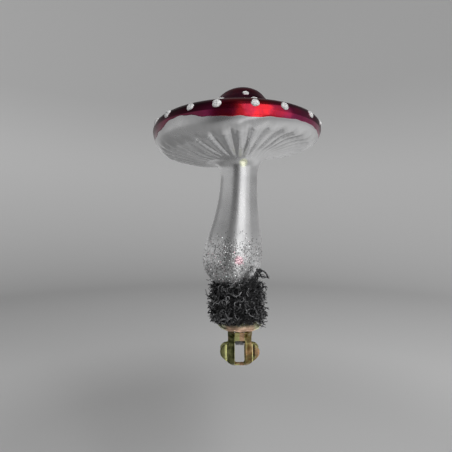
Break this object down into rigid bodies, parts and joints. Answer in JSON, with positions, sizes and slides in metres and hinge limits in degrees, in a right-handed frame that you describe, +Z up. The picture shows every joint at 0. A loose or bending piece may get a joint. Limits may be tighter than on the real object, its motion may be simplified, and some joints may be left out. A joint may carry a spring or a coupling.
{
  "type": "clip-on glass toadstool ornament",
  "caption": "Blown-glass fly agaric tree ornament with a red dotted cap, gilled pearl underside and bulbous stem, set in a dark moss collar on a sprung brass twig clip",
  "frame": {"origin": "middle of the space between the clip's closed jaws, where the twig lies", "axes": "+Z up along the stem, X along the hinge pin and the gripped twig, -Y towards the viewer and the sprung jaw"},
  "size_m": [0.0822, 0.0817, 0.1384],
  "materials": {
    "pearl_glass": "silvered inside and coated in satin pearl white, with ribbed gills under the cap",
    "red_lacquer": "transparent wine-red lacquer over silvering, mirror-like",
    "dot_glitter": "raised white dots of glue thick with silver glitter",
    "bulb_glitter": "fine silver glitter grains dusted over the foot of the stem",
    "dried_moss": "dense charcoal strands of curled dried moss",
    "brass": "bright stamped sheet, polished, with olive and copper reflections",
    "spring_steel": "dark drawn wire and pin"
  },
  "bodies": {
    "ornament": {"glass_toadstool": "pearl_glass", "moss_collar": "dried_moss", "clip_tray": "brass", "tray_rivet": "brass", "jaw_fixed": "brass", "hinge_pin": "spring_steel", "torsion_spring": "spring_steel"},
    "jaw": {"jaw_sprung": "brass"}
  },
  "joints": [
    {"name": "jaw_pivot", "type": "hinge", "parent": "ornament", "child": "jaw", "pos_m": [0, 0, 0.0056], "axis": [-1, 0, 0], "range_deg": [0, 25], "stiffness_Nm_per_rad": 0.05, "springref_deg": -34.38, "deforming": ["torsion_spring"]}
  ]
}
